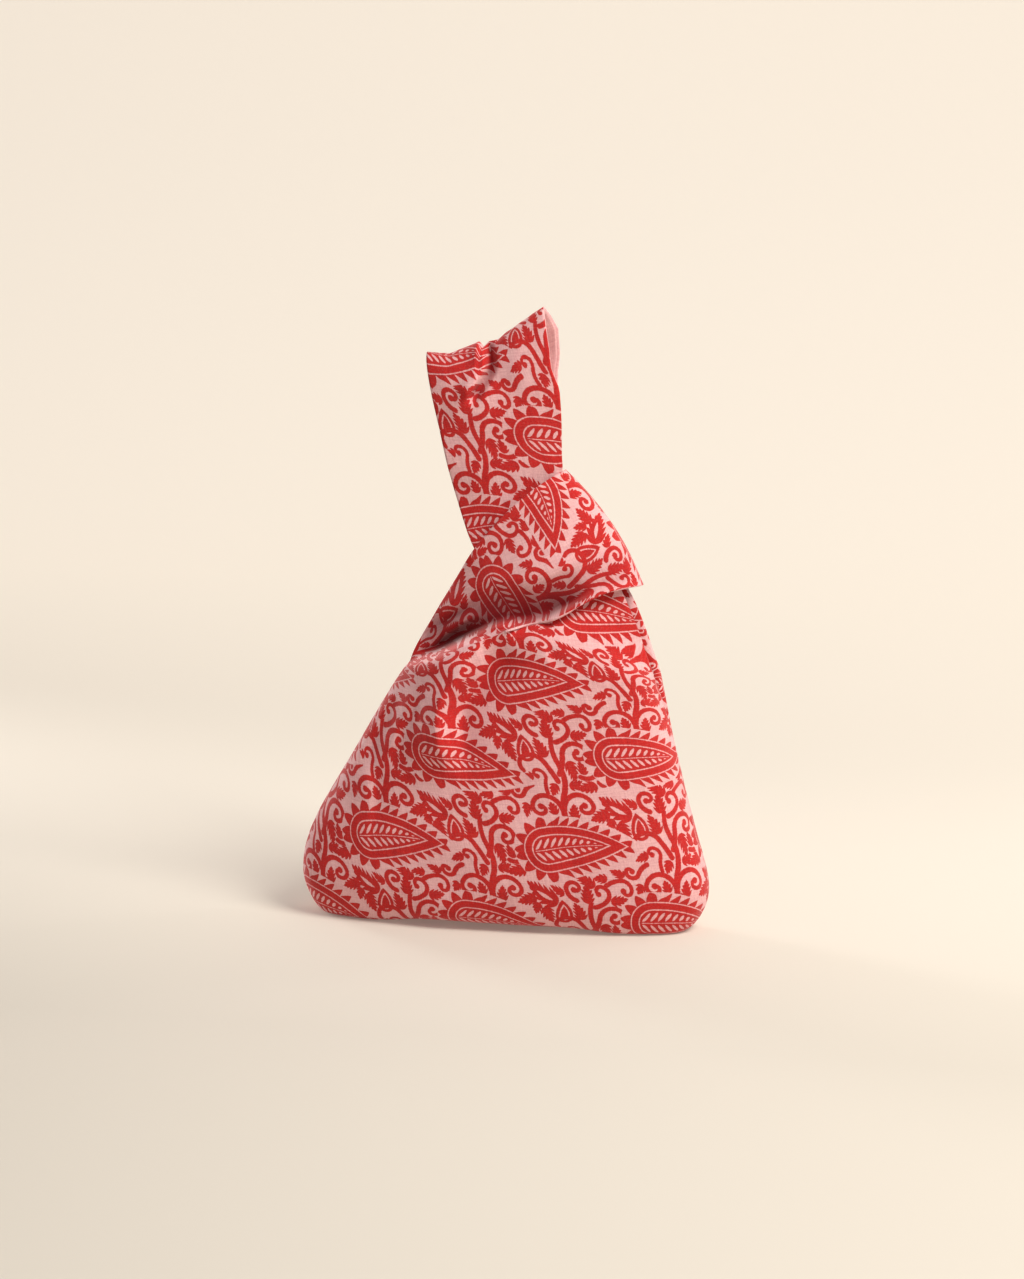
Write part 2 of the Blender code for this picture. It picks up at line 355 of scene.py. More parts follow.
# The line of the lip, where the short loop turns over the neck, as (x, z).
LIP = [
    (80, 197), (59, 193), (40, 182.5), (28, 176.5), (17, 174),
    (5, 173.5), (-3, 171), (-16, 164.5), (-35, 153.5), (-56, 146),
]
BELLY_FOLD = [(-21, 80), (-27, 97), (-29.5, 112), (-30, 126), (-25.5, 138), (-13, 154), (-2, 166), (4, 172)]
ROOT_FOLD = [(-52, 149), (-46, 155), (-38, 162), (-29, 169), (-18, 176), (-8, 180)]
SHORT_HEM = [(31.8, 258.4), (14.2, 246.0), (-0.6, 231.5), (-14.4, 215.8), (-26, 200)]
# Creases: what carries each, then its path in (x, z) with its gentle side on the left; reach and height of
# the gentle side, width of the drop, reach and depth of the hollow beyond it, and the share of the path over
# which it fades in and out.
FRONT_CREASES = [
    # the lip over the neck: the cloth rises to it from below and drops into a hollow above it
    ("lip", LIP, 14, 3.4, 4.0, 24, 3.0, 0.08),
    ("lip", LIP[1:], 10, 0.4, 4.0, 24, 8.0, 0.25),
    # the same on the body and on the root of the long loop, behind the lip's right end
    ("root", LIP, 30, 3.4, 3.5, 22, 6.0, 0.08),
    # the big fold from the belly up to the neck
    ("fold", BELLY_FOLD, 46, 12.0, 11.0, 20, 3.0, 0.36),
    # the thin ridge beside it under the neck
    ("body", [(-4, 152), (-8, 160), (-6, 167), (0, 172)], 5, 1.0, 2.0, 6, 0.8, 0.4),
    # folds of the short loop above its root
    ("short", ROOT_FOLD, 7, 3.6, 4.0, 9, 2.6, 0.3),
    ("short", [(-44, 171), (-34, 178), (-24, 184), (-12, 190)], 8, 2.2, 4.0, 9, 2.2, 0.5),
    # folds that spread from the left end of the neck down the shoulder
    ("body", [(-90, 80), (-77, 106), (-64, 128), (-54, 144)], 11, 1.4, 5.0, 11, 1.2, 0.35),
    ("body", [(-76, 40), (-73, 70), (-76, 92), (-82, 112)], 12, 1.1, 6.0, 12, 1.0, 0.45),
    ("body", [(-66, 84), (-59, 108), (-50, 130), (-42, 147)], 11, 1.3, 5.0, 12, 1.2, 0.4),
    # a short crease under the lip
    ("body", [(36, 146), (32, 156), (26, 168)], 6, 0.5, 3.0, 7, 0.5, 0.45),
    # the dent in the top of the long loop, and the bulge on its left
    ("long", [(-21, 297), (-14, 307), (-9.5, 316), (-10.5, 323), (-11.6, 332)], 10, 3.0, 2.4, 6, 6.2, 0.2),
    # the short loop's own hem rolls up over the long loop
    ("short", SHORT_HEM, 7, 1.6, 2.0, 5, 0.4, 0.2),
    # soft folds across the short loop's end
    ("short", [(20, 197), (32, 204), (46, 214)], 8, 1.0, 5.0, 9, 0.9, 0.4),
]
# How far the top of the long loop stands above its even curve: x, rise.
TOP_EDGE = [
    (-46, 0), (-30, -0.7), (-25, 1.0), (-14, 3.0), (-11.5, -0.8), (-8.5, 1.2),
    (-3, 0.2), (1, 2.0), (9, 2.8), (18, 2.2), (26, 0.8),
]
TOP_FROM, TOP_FULL = 305, 326  # heights between which that rise comes in
# How far the outer edge of the long loop is drawn in, in front and behind: z, shift.
FRONT_EDGE = [(250, 0), (262, -2.2), (305, -2.2), (310, -0.5), (316, 1.2), (326, 1.2), (343, 2.4), (349, 3.2)]
BACK_EDGE = [(250, 0), (262, 2.2), (306, 2.2), (313, 1.6), (322, -0.4), (337, -1.7), (345, 1.2), (349, 3.2)]
LONG_MIDLINE, LONG_EDGE = 0, 26  # where along x that shift starts and is whole
LIP_TURN = (-6, 12)  # where along x the lip passes from the body on to the short loop alone
REFINED = 9.0  # how near a crease the faces' edges are halved
STILL_SEAM = 6.0  # how near the seam the creases die out
PAINTED_SHADE_DEPTH = 9.0  # a hollow this deep gets the whole of the painted shade


def soft_step(value, start, end):
    """0 up to the start, 1 from the end on, with a smooth way between."""
    t = np.clip((value - start) / (end - start), 0, 1)
    return t * t * (3 - 2 * t)


SLOW, QUICK, PUCKER = 1.1, 0.35, 0.9  # heights of the slow waves, the quick waves and the seam's pucker
SLOW_LENGTH, QUICK_LENGTH = (26, 40, 21), (9, 20, 11)  # how long the waves are along x, y and z
PUCKER_LENGTH, PUCKER_REACH = 3.2, 5.0  # how long the puckers are, and how far from the seam they reach


def ruffled(points):
    """Small unevenness of worn cloth, and the pucker of its seams, outwards along y."""
    heights = np.empty(len(points))
    for i, (x, y, z) in enumerate(points.tolist()):
        slow = noise.noise(Vector((x / SLOW_LENGTH[0], y / SLOW_LENGTH[1], z / SLOW_LENGTH[2])))
        quick = noise.noise(Vector((x / QUICK_LENGTH[0] + 7, y / QUICK_LENGTH[1], z / QUICK_LENGTH[2])))
        at_seam = math.exp(-abs(y) / PUCKER_REACH)
        pucker = noise.noise(Vector((x / PUCKER_LENGTH, 3.0, z / PUCKER_LENGTH))) * at_seam
        heights[i] = SLOW * slow + QUICK * quick + PUCKER * pucker
    return heights


def carried(where, which, x):
    """The share of a crease that each part of the cloth takes on; which is the mesh's "loop" value there."""
    right_end = soft_step(x, *LIP_TURN)
    on_short, off_short = np.clip(-which * 3, 0, 1), np.clip(1 + which * 3, 0, 1)
    off_long = np.clip(1 - which * 3, 0, 1)
    if where == "lip":  # the body and the short loop at its left end, the short loop alone at its right end
        return (1 - right_end) * off_long + right_end * on_short
    if where == "root":  # the body and the long loop at the lip's right end
        return right_end * off_short
    if where == "short":
        return np.clip(-which, 0, 1)
    if where == "long":
        return np.clip(which, 0, 1)
    return np.clip(1 - np.abs(which) * 2, 0, 1)  # the body alone


def creased(thing, creases, side):
    """Works the creases into the cloth, outwards along y; side is 0 for cloth both in front and behind."""
    paths = [smooth_path([np.array(point, float) for point in crease[1]]) for crease in creases]
    refined(thing, paths, REFINED)
    mesh = thing.data
    points = np.empty(len(mesh.vertices) * 3, np.float32)
    mesh.vertices.foreach_get("co", points)
    points = points.reshape(-1, 3) / MM
    which = np.empty(len(mesh.vertices), np.float32)
    mesh.attributes["loop"].data.foreach_get("value", which)
    side = side or np.where(points[:, 1] < 0, 1, -1)
    seam = np.clip(np.abs(points[:, 1]) / STILL_SEAM, 0, 1)  # nothing moves at the seam itself
    ruffle, out = ruffled(points), np.zeros(len(points))
    for (where, _, rise_reach, rise, steep, fall_reach, fall, fade), path in zip(creases, paths):
        along, off = beside(points[:, [0, 2]], path)
        strength = soft_step(np.minimum(along, 1 - along), 0, fade) * carried(where, which, points[:, 0])
        out += strength * pleat(off, rise_reach, rise, steep, fall_reach, fall, where == "fold")
    # how deep each fold's hollow is, kept as the mask of the painted shade laid into it
    painted_fold_shade = mesh.attributes.new("painted_fold_shade", "FLOAT", "POINT")
    painted_fold_shade.data.foreach_set("value", (seam * np.clip(-out / PAINTED_SHADE_DEPTH, 0, 1)).astype(np.float32))
    points[:, 1] -= (out + ruffle) * seam * side
    x, y, z = points.T
    top = soft_step(z, TOP_FROM, TOP_FULL) * np.clip(which, 0, 1)
    points[:, 2] += top * np.interp(x, *zip(*TOP_EDGE))
    drawn_in = np.where(y < 0, np.interp(z, *zip(*FRONT_EDGE)), np.interp(z, *zip(*BACK_EDGE)))
    points[:, 0] -= drawn_in * np.clip(which, 0, 1) * soft_step(x, LONG_MIDLINE, LONG_EDGE)
    mesh.vertices.foreach_set("co", (points * MM).astype(np.float32).ravel())
    mesh.update()


class Field:
    """A number that varies over a surface. Sums with it add Math nodes to the material that is being made."""

    tree = None

    def __init__(self, socket):
        self.socket = socket

    def __add__(self, other):
        return worked("ADD", self, other)

    def __sub__(self, other):
        return worked("SUBTRACT", self, other)

    def __rsub__(self, other):
        return worked("SUBTRACT", other, self)

    def __mul__(self, other):
        return worked("MULTIPLY", self, other)

    def __truediv__(self, other):
        return worked("DIVIDE", self, other)

    def __pow__(self, other):
        return worked("POWER", self, other)

    __radd__, __rmul__ = __add__, __mul__


def worked(operation, *values):
    """One Math node fed with fields or plain numbers."""
    node = Field.tree.nodes.new("ShaderNodeMath")
    node.operation = operation
    for value, socket in zip(values, node.inputs):
        if isinstance(value, Field):
            Field.tree.links.new(value.socket, socket)
        else:
            socket.default_value = value
    return Field(node.outputs[0])


def least(a, b):
    return worked("MINIMUM", a, b)


def most(a, b):
    return worked("MAXIMUM", a, b)


def size(a):
    return worked("ABSOLUTE", a)


def whole(a):
    return worked("FLOOR", a)


def part(a):
    return worked("FRACT", a)


def angle(rise, run):
    return worked("ARCTAN2", rise, run)


def around(a, half):
    """The number brought in between -half and half by whole turns."""
    return worked("WRAP", a, half, -half)


def length(a, b):
    return (a * a + b * b) ** 0.5


COLUMN, REPEAT = 52.0, 94.0  # the print's columns, each half a repeat higher than the last
PAISLEY_SCALE = 0.82  # the paisley is drawn at this scale, so it prints larger than its sizes
PAISLEY_HALF, PAISLEY_LENGTH = 9.2, 35.0  # radius of its round end, and from that end's middle to its tip
PAISLEY_FOOT = 12.5  # from its column's middle back to the middle of its round end
TILT_DOWN, TILT_UP = 0.08, 0.12  # the slopes of its axis: down in one row of the print, up in the next
MOVED_UP, MOVED_DOWN = 1.0, 1.5  # how far each of those rows is moved, so that its paisleys lie midway
PETAL_PITCH, PETAL_END, PETAL_DEPTH = 4.4, 5.9, 4.4  # its fringe
RIM_LINES, RIM_HALF = (1.0, -2.7), 0.33  # the bare lines round it: how far out they lie, and half their width
VEIN_PITCH, RIB_HALF = 3.4, 0.22  # the bare feathers in its middle, and their rib


def placed(u, v, at):
    """Millimetres right of and above a motif's middle, in every column of the print."""
    column = whole((u - at[0]) / COLUMN + 0.5)
    return u - at[0] - COLUMN * column, around(v - at[1] - REPEAT / 2 * column, REPEAT / 2)


def turned(x, y, at, degrees):
    """The place seen from a point, with its first measure along the heading."""
    c, s = math.cos(math.radians(degrees)), math.sin(math.radians(degrees))
    return x * c + y * s - (at[0] * c + at[1] * s), y * c - x * s - (at[1] * c - at[0] * s)


def drop(x, y, blunt, tip):
    """Distance out from the edge of a drop with a round end and a point."""
    round_ = (tip * tip + blunt * blunt) / (2 * blunt)
    side = length(most(x, 0.0), size(y) + (round_ - blunt)) - round_
    return length(least(x, 0.0), side + blunt) - blunt


def big_paisley(u, v):
    """How far inside a fringed, feathered drop, and how far outside the plain drop; every other one rises."""
    row = whole(v / (REPEAT / 2) + 0.5)
    rises = part(row / 2) * 2
    x = around(u - COLUMN * row, COLUMN) * PAISLEY_SCALE
    y = (v - REPEAT / 2 * row) * PAISLEY_SCALE
    x = x + PAISLEY_FOOT
    y = y + x * (TILT_DOWN - rises * (TILT_DOWN + TILT_UP)) - MOVED_UP + rises * (MOVED_UP + MOVED_DOWN)
    ahead = most(x, 0.0)
    y = y + ahead * ahead * 0.0045 - ahead * 0.06  # its back is slightly bent
    out = drop(x, y, PAISLEY_HALF, PAISLEY_LENGTH)
    across = size(y)
    along = PAISLEY_HALF * angle(across, 0.0 - least(x, 0.0)) + ahead
    swept = most(out, 0.0) * least(ahead / 7.0, 0.95)  # the petals point back more towards the tip
    petal = size(part((along - swept) / PETAL_PITCH + 0.25) - 0.5)
    fringe = PETAL_END - PETAL_DEPTH * (petal * 2.0) ** 1.4 - out - ahead * 0.03
    from_rib, from_rim = most(across - 0.8, 0.0), most(-4.0 - out, 0.0)
    between = from_rib + from_rim  # the veins are widest midway between the rib and the rim
    lens = (4.0 * from_rib * from_rim / (between * between + 0.01)) ** 0.5
    vein = (0.31 * lens - size(part((x - across * 0.75) / VEIN_PITCH) - 0.5)) * VEIN_PITCH
    rib = least(RIB_HALF - across, -3.9 - out)
    lines = most(RIM_HALF - size(out - RIM_LINES[0]), RIM_HALF - size(out - RIM_LINES[1]))
    bare = most(most(vein - 0.12, rib), lines)
    return least(fringe, 0.0 - bare), out


def arc(x, y, centre, radius, middle, half, width, taper):
    """How far inside a curved stem; width is its half width midway, taper what it gains for each radian."""
    p, q = turned(x, y, centre, math.degrees(middle))
    turn = angle(q, p)
    beyond = most(size(turn) - half, 0.0)
    return width + taper * most(least(turn, half), -half) - length(length(p, q) - radius, beyond * radius)


def vine(x, y, heading, arcs, width, end_width, knob):
    """How far inside a stem of arcs from 0, 0 on; each is a length and a turn to the left in degrees."""
    px, py = 0.0, 0.0
    heading = math.radians(heading)
    total = sum(reach for reach, _ in arcs)
    run, inside = 0.0, None
    for reach, turn in arcs:
        turn = math.radians(turn)
        radius = reach / turn
        cx, cy = px - radius * math.sin(heading), py + radius * math.cos(heading)
        half = abs(turn) / 2
        middle = heading + turn / 2 - math.copysign(math.pi / 2, turn)
        middle_width = width + (end_width - width) * (run + reach / 2) / total
        taper = (end_width - width) * reach / total / (2 * half) * math.copysign(1.0, turn)
        piece = arc(x, y, (cx, cy), abs(radius), middle, half, middle_width, taper)
        inside = piece if inside is None else most(inside, piece)
        heading += turn
        px = cx + radius * math.sin(heading)
        py = cy - radius * math.cos(heading)
        run += reach
    return most(inside, end_width * knob - length(x - px, y - py)) if knob else inside


def leaf(x, y, degrees, reach, fat, eye, bend):
    """How far inside a leaf whose foot is at 0, 0, with pointed lobes and perhaps an eye left bare in it."""
    p, q = turned(x, y, (0.0, 0.0), degrees)
    q = q + p * p * bend
    out = drop(p - fat, q, fat, reach - fat)
    lobe = size(part((p - size(q) * 1.3) / (1.6 + 0.5 * fat)) - 0.5)
    tall = least(least(p * 0.45, (reach - p) * 0.35), 0.3 + 0.38 * fat)
    edge = (1.0 - 3.0 * lobe * lobe - lobe) * tall - out
    if not eye:
        return edge
    middle = (p - reach * 0.42) / (reach * 0.26)
    hole = (1.0 - middle * middle) * (0.26 * fat) - size(q)
    return least(edge, 0.0 - hole)


BUD_HALF, BUD_LENGTH, BUD_BEND = 4.9, 10.0, 0.02
BUD_LINE, BUD_LINE_HALF = 2.2, 0.42  # how far in its bare line lies, and half that line's width


def bud(x, y, degrees):
    """How far inside a small drop with a thin bare line round its middle."""
    p, q = turned(x, y, (0.0, 0.0), degrees)
    ahead = most(p, 0.0)
    out = drop(p, q - ahead * ahead * BUD_BEND, BUD_HALF, BUD_LENGTH)
    return least(0.0 - out, size(out + BUD_LINE) - BUD_LINE_HALF)


BUD_AT, BUD_HEADING = (-13.0, 53.0), 80.0
CLEAR_ROUND_PAISLEY = 7.3  # stems and leaves stop this far out from its drop
VINES = [
    # foot, heading, arcs, half width at the start and at the end, size of the end knob or 0
    ((0, 15), 95, [(15, -30), (18, 45), (16, -40), (11, 60)], 1.72, 1.20, 0),
    ((-0.5, 21), 98, [(10, 60), (13, 95), (10, 150), (5, 150)], 1.48, 1.07, 1.6),
    ((0.5, 21), 82, [(10, -60), (13, -95), (10, -150), (5, -150)], 1.48, 1.07, 1.6),
    ((3, 41), 60, [(12, 20), (15, -120), (11, -150), (6, -160)], 1.56, 1.07, 1.6),
    ((1, 37), 110, [(12, 10), (13, 90), (9, 100)], 1.48, 1.20, 0),
    ((-5, 63), 160, [(9, -70), (10, -150), (5.5, -160)], 1.40, 1.03, 1.6),
    ((5, 59), 10, [(9, 40), (10, 120), (6.5, 150)], 1.40, 1.03, 1.5),
    ((-14, 35), 200, [(8, 40), (9, -150), (5, -170)], 1.33, 1.03, 1.5),
    ((14, 39), -30, [(8, 60), (9, -140), (5, -170)], 1.33, 1.03, 1.5),
    ((12.8, 71.5), 34, [(9.2, -33), (10.3, -117), (6.3, -165)], 1.25, 0.99, 1.6),
    ((-6.2, 30.5), 102, [(7.6, -35), (8.5, 119), (5.2, 165)], 1.09, 0.87, 1.6),
]
LEAVES = [
    # x and y of the foot, heading, length, half width, whether it has an eye, how much it bends
    (-15.5, 61.8, 159, 19, 4.6, True, 0.017),
    (8.5, 47.8, -57, 11.5, 2.7, False, 0.039),
    (-3.2, 50.5, 93, 11.5, 2.7, False, -0.022),
    (5.8, 70.5, 123, 11.5, 2.7, False, -0.027),
    (21.5, 34.8, 212, 11.5, 2.7, False, 0.031),
    (24.5, 17.8, -162, 11.5, 2.7, False, 0.0),
    (1.2, 61.2, 86, 11.5, 2.7, False, -0.003),
    (-23.5, 58.8, -72, 11.5, 2.7, False, -0.004),
    (5.5, 14.5, 97, 9.5, 2.4, False, 0.025),
    (14.2, 62.5, -4, 9.5, 2.4, False, -0.019),
    (-0.2, 35.5, -130, 7.5, 2.1, False, -0.024),
    (15.8, 40.2, 76, 7.5, 2.1, False, -0.043),
    (-4.8, 18.2, 104, 7.5, 2.1, False, 0.004),
    (25.5, 14.5, -119, 7.5, 2.1, False, -0.026),
    (-11.2, 67.5, -185, 7.5, 2.1, False, 0.071),
    (6.5, 34.2, -6, 7.5, 2.1, False, -0.058),
    (14.2, 74.8, 154, 7.5, 2.1, False, -0.048),
    (-11.8, 39.5, -189, 7.5, 2.1, False, -0.058),
    (23.5, 75.8, 123, 7.5, 2.1, False, -0.058),
    (-18.8, 24.2, 224, 7.5, 2.1, False, -0.062),
]


def printed(u, v):
    """How far inside the ink a place on the cloth is, in millimetres; it is below zero on bare ground."""
    paisley, out = big_paisley(u, v)
    ink = bud(*placed(u, v, BUD_AT), BUD_HEADING)
    for foot, heading, arcs, wide, narrow, knob in VINES:
        ink = most(ink, vine(*placed(u, v, foot), heading, arcs, wide, narrow, knob))
    for foot_x, foot_y, heading, reach, fat, eye, bend in LEAVES:
        ink = most(ink, leaf(*placed(u, v, (foot_x, foot_y)), heading, reach, fat, eye, bend))
    ink = least(ink, out / PAISLEY_SCALE - CLEAR_ROUND_PAISLEY)
    return most(ink, paisley / PAISLEY_SCALE)


WEAVE = 0.62  # one repeat of the weave, which is two threads
SLUB_SCALES = ((0.09, 1.3), (1.3, 0.09))  # long thin clouds, first along one set of threads, then the other


def woven(tree, u, v):
    """The weave's height from 0 to 1, and how much thicker than the others each thread runs, about 0."""
    over = worked("SINE", u * (2 * math.pi / WEAVE)) * worked("SINE", v * (2 * math.pi / WEAVE))
    uneven = []
    for across, along in SLUB_SCALES:
        stretch = tree.nodes.new("ShaderNodeCombineXYZ")
        tree.links.new((u * across).socket, stretch.inputs[0])
        tree.links.new((v * along).socket, stretch.inputs[1])
        slub = tree.nodes.new("ShaderNodeTexNoise")
        slub.inputs["Scale"].default_value = 1.0
        slub.inputs["Detail"].default_value = 3.0
        tree.links.new(stretch.outputs[0], slub.inputs["Vector"])
        uneven.append(Field(slub.outputs[0]))
    slubs = uneven[0] + uneven[1] - 1.0
    return over * 0.5 + 0.5, slubs


def clouded(tree, place, scale, detail):
    """Clouds about 0 over the cloth."""
    clouds = tree.nodes.new("ShaderNodeTexNoise")
    clouds.inputs["Scale"].default_value = scale
    clouds.inputs["Detail"].default_value = detail
    tree.links.new(place, clouds.inputs["Vector"])
    return Field(clouds.outputs[0]) - 0.5


def blended(tree, share, first, second):
    """A colour between two, each a socket or a plain colour."""
    mix = tree.nodes.new("ShaderNodeMix")
    mix.data_type = "RGBA"
    for socket, colour in (("A", first), ("B", second)):
        if isinstance(colour, tuple):
            mix.inputs[socket].default_value = (*colour, 1.0)
        else:
            tree.links.new(colour, mix.inputs[socket])
    tree.links.new(least(most(share, 0.0), 1.0).socket, mix.inputs["Factor"])
    return mix.outputs["Result"]


GROUND, GROUND_SHADED, GROUND_PATCH = (0.90, 0.53, 0.51), (0.74, 0.35, 0.35), (0.80, 0.45, 0.47)
INK, INK_SHADED, INK_WORN = (0.62, 0.018, 0.015), (0.41, 0.009, 0.011), (0.80, 0.22, 0.19)
INK_SPREAD = 0.10  # how far the ink runs beyond its drawing
INK_EDGE = 0.32  # width of the ink's soft edge
PAINTED_FOLD_SHADE, PAINTED_FOLD_SHADE_SHARE = (0.16, 0.010, 0.016), 0.65  # painted shade: the hollows of the folds are darkened towards this colour, by at most this share


def cotton(name, print_on):
    """Plain-woven cotton in pale pink, with the red print on it or without."""
    made = bpy.data.materials.new(name)
    made.use_nodes = True
    tree = Field.tree = made.node_tree
    shader = tree.nodes["Principled BSDF"]
    shader.inputs["Roughness"].default_value = 0.88
    shader.inputs["Specular IOR Level"].default_value = 0.18
    shader.inputs["Sheen Weight"].default_value = 0.28
    shader.inputs["Sheen Roughness"].default_value = 0.35
    shader.inputs["Sheen Tint"].default_value = (1.0, 0.90, 0.88, 1.0)
    place = tree.nodes.new("ShaderNodeUVMap")
    place.uv_map = "cloth"
    split = tree.nodes.new("ShaderNodeSeparateXYZ")
    tree.links.new(place.outputs[0], split.inputs[0])
    u, v = Field(split.outputs[0]), Field(split.outputs[1])
    weave, slubs = woven(tree, u, v)
    patches = clouded(tree, place.outputs[0], 0.05, 2.0)
    specks = clouded(tree, place.outputs[0], 1.1, 3.0)
    colour = blended(tree, slubs * 1.8 + specks * 1.8 + 0.5, GROUND, GROUND_SHADED)
    colour = blended(tree, patches * 0.8 + 0.15, colour, GROUND_PATCH)
    if print_on:
        inside = printed(u, v) + INK_SPREAD + specks * 0.5 + slubs * 0.35
        ink = blended(tree, slubs * 1.5 + specks * 1.2 + 0.4, INK, INK_SHADED)
        ink = blended(tree, (weave - 0.5) * 0.4 + specks * 0.9 + patches * 0.10, ink, INK_WORN)
        colour = blended(tree, inside / INK_EDGE + 0.5, colour, ink)
    # painted shade in the hollows of the folds, darker where they are deeper
    painted_fold_shade = tree.nodes.new("ShaderNodeAttribute")
    painted_fold_shade.attribute_name = "painted_fold_shade"
    colour = blended(tree, Field(painted_fold_shade.outputs["Fac"]) * PAINTED_FOLD_SHADE_SHARE, colour, PAINTED_FOLD_SHADE)
    tree.links.new(colour, shader.inputs["Base Color"])
    rough = tree.nodes.new("ShaderNodeBump")
    rough.inputs["Strength"].default_value = 0.55
    rough.inputs["Distance"].default_value = 0.35 * MM
    tree.links.new((weave * 0.6 + slubs * 1.2 + specks * 0.5).socket, rough.inputs["Height"])
    tree.links.new(rough.outputs[0], shader.inputs["Normal"])
    return made


CLOTH_THICK = 1.2  # the printed cotton and its lining together
ROUNDING = 3  # levels of subdivision


def cloth_panel(name, side, body_folds, long_folds, creases):
    """A panel of printed cloth with its lining, in place of its solid; side is 1 in front and -1 behind."""
    panel = smoothed(name + "_cloth", panel_mesh(name, body_folds, long_folds, side), ROUNDING)
    cut_at_seam(panel, side)
    creased(panel, creases, side)
    panel.data.materials.append(print_finish)
    panel.data.materials.append(lining_finish)
    lined = panel.modifiers.new("Lined", "SOLIDIFY")
    lined.thickness = CLOTH_THICK * MM
    lined.offset = -1.0
    lined.material_offset = 1
    lined.material_offset_rim = 1
    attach(panel, "root")
    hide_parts(name)


print_finish = cotton("printed_cotton", True)
lining_finish = cotton("plain_cotton", False)
cloth_panel("front_panel", 1, FRONT_BODY_FOLDS, FRONT_LONG_FOLDS, FRONT_CREASES)


# ---- Back panel ------------------------------------------------------------------------------
# The same two layers of cotton in the same cut, turned over and seamed to the front panel. It hangs
# in fewer and softer folds of its own, and at the mouth its hem tucks in behind the front's.

BACK_BODY_FOLDS = [
    (5.0, 168.0, -10.0, 124.0, 9.0, -6.5),
    (0.0, 142.0, 22.0, 82.0, 12.0, -4.0),
    (-60.0, 130.0, -72.0, 86.0, 10.0, -2.5),
]
BACK_LONG_FOLDS = [(-20.0, 335.0, -6.0, 285.0, 8.0, -2.0)]
BACK_CREASES = [
    ("lip", LIP, 12, 2.0, 4.0, 18, 3.5, 0.12),
    ("body", [(-30, 78), (-31, 100), (-27, 124), (-19, 142), (-10, 156), (0, 168)], 20, 3, 6, 22, 4, 0.3),
    ("body", [(-84, 84), (-74, 106), (-64, 126), (-54, 144)], 9, 1.6, 4.0, 9, 1.4, 0.3),
    ("long", [(-18, 301), (-13, 308), (-9.5, 316), (-10.5, 323), (-11.6, 332)], 9, 1.6, 3.0, 9, 2.4, 0.2),
]

cloth_panel("back_panel", -1, BACK_BODY_FOLDS, BACK_LONG_FOLDS, BACK_CREASES)


# ---- Lining of the long loop -----------------------------------------------------------------
# A plain strip of the lining cotton, sewn inside the long loop. It runs up from the knot, over the
# top and down behind, and it is the only lining that shows.

KNOT_ROW = 5  # the row of the long loop at which it comes out of the knot
LINING_GAP = 1.9  # how far inside the printed cloth's face it lies
LINING_INSET, LINING_THICK = 1.2, 0.6
LINING_PITCH = 9.0  # width of one face of the strip, laid flat


def lining_mesh():
    """The strip, with its place on the laid-out cloth in millimetres as its UV map."""
    strip = []
    for side, folds in ((1, FRONT_LONG_FOLDS), (-1, BACK_LONG_FOLDS)):
        half = [[folded(point, folds) for point in strap_row(row, LONG_SPANS)] for row in LONG[KNOT_ROW:]]
        if side < 0:  # the top row is the front's already
            half = half[:-1][::-1]
        strip += [[Vector((point.x, point.y * side, point.z)) for point in row] for row in half]
    cloth = bmesh.new()
    places = cloth.loops.layers.uv.new("cloth")
    loops = cloth.verts.layers.float.new("loop")
    made, run = [], 0.0
    for k in range(1, len(strip) - 1):
        row, line = strip[k], []
        run += (row[LONG_MIDDLE] - strip[k - 1][LONG_MIDDLE]).length
        for i, point in enumerate(row):
            across = row[min(i + 1, LONG_SPANS)] - row[max(i - 1, 0)]
            normal = across.cross(strip[k + 1][i] - strip[k - 1][i]).normalized()
            inset = {0: LINING_INSET, LONG_SPANS: -LINING_INSET}.get(i, 0.0)
            vert = cloth.verts.new((point - normal * LINING_GAP + across.normalized() * inset) * MM)
            vert[loops] = ON_LONG
            line.append((vert, (LINING_PITCH * i, run)))
        made.append(line)
    for below, above in zip(made, made[1:]):
        for i in range(LONG_SPANS):
            corners = (below[i], below[i + 1], above[i + 1], above[i])
            face = cloth.faces.new([vert for vert, _ in corners])
            for loop, (_, uv) in zip(face.loops, corners):
                loop[places].uv = uv
    mesh = bpy.data.meshes.new("handle_lining")
    cloth.to_mesh(mesh)
    cloth.free()
    return mesh


lining = smoothed("handle_lining_cloth", lining_mesh(), ROUNDING)
creased(lining, [crease for crease in FRONT_CREASES if crease[0] == "long"], 0)
lining.data.materials.append(lining_finish)
single = lining.modifiers.new("Thick", "SOLIDIFY")
single.thickness = LINING_THICK * MM
single.offset = -1.0
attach(lining, "root")
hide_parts("handle_lining")


# ---- Table, lights and camera ----------------------------------------------------------------
# The bag stands on a sweep of cream paper, flat under it and drawn up far behind it. One large soft
# light hangs high at the right in front; two small low ones behind just catch the bag's edges.

PAPER_HALF_WIDTH, PAPER_FRONT, PAPER_TOP = 4.0, -3.0, 3.5  # in metres, like all that follows
BEND_START, BEND_RADIUS, BEND_STEPS = 1.2, 1.0, 24
PAPER, PAPER_GLOW = (0.61, 0.56, 0.48), (0.97, 0.86, 0.73)
GLOW_REACH, LEAST_GLOW = 2.0, 0.06  # the glow is even from this far behind the bag on, and never below this
BAG_MIDDLE = (0.0, 0.0, 0.16)


